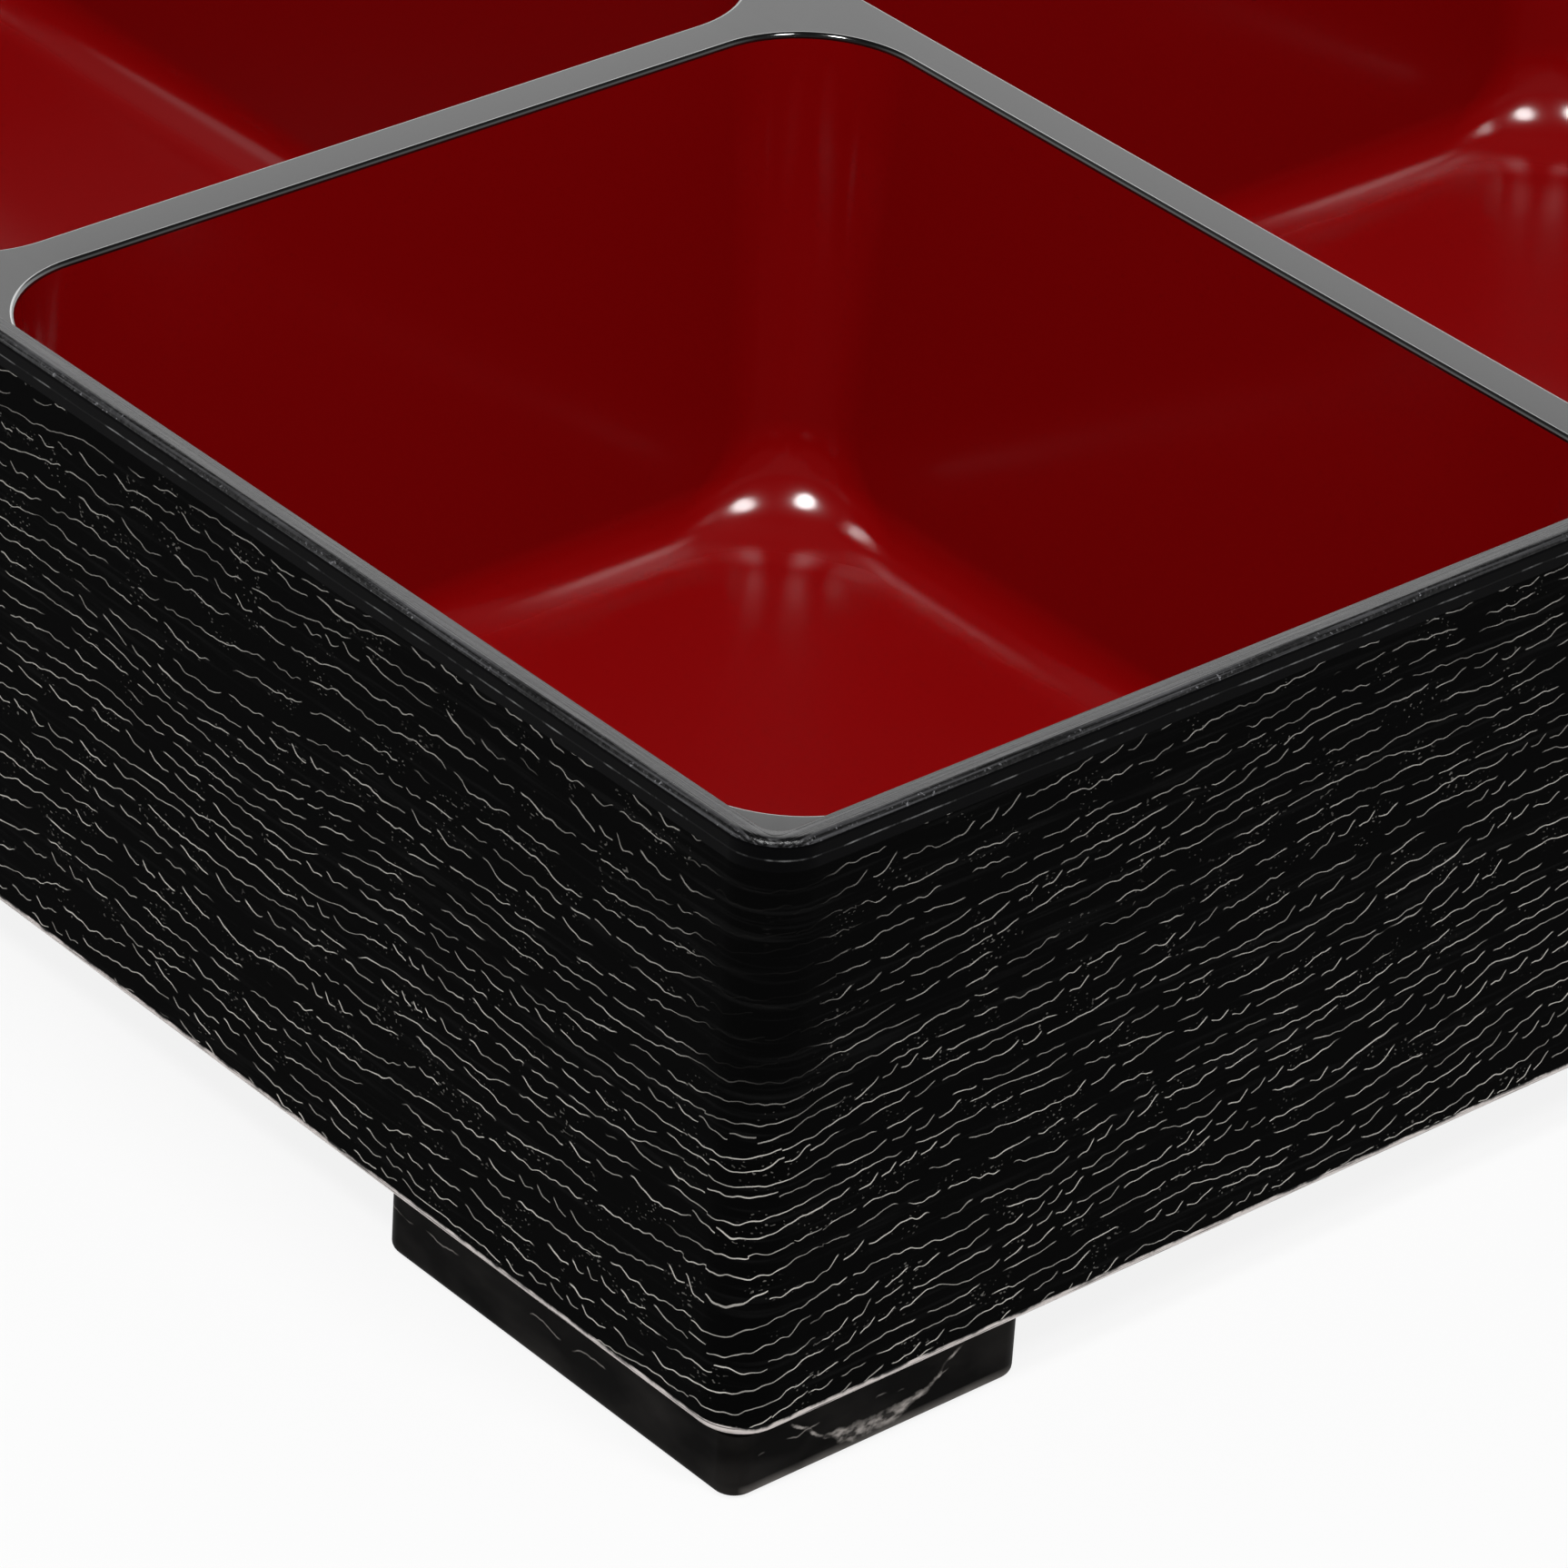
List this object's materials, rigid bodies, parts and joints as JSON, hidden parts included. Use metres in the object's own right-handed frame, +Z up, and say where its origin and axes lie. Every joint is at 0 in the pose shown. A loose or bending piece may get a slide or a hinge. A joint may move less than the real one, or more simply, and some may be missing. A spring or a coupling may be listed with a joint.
{
  "type": "bento box",
  "caption": "Rectangular open bento box with a textured black body on corner feet and a lift-out red-lined compartment tray.",
  "frame": {"origin": "on the table, under the middle of the box", "axes": "+X along the box's long side, +Y from its front to its back, +Z up out of the open top"},
  "size_m": [0.27, 0.21, 0.06],
  "materials": {
    "grained_black": "black ABS with a fine moulded wood grain in low relief, smooth at the rim",
    "smooth_black": "smooth semi-gloss black ABS",
    "red_lacquer": "glossy dark red lacquer in the pockets, black on the top plate and underside"
  },
  "bodies": {
    "box": {"box_body": "grained_black", "foot_front_left": "smooth_black", "foot_back_left": "smooth_black", "foot_front_right": "smooth_black", "foot_back_right": "smooth_black"},
    "tray": {"compartment_tray": "red_lacquer"}
  },
  "joints": [
    {"name": "tray_lift", "type": "slide", "parent": "box", "child": "tray", "axis": [0, 0, 1], "range_m": [0, 0.065]}
  ]
}
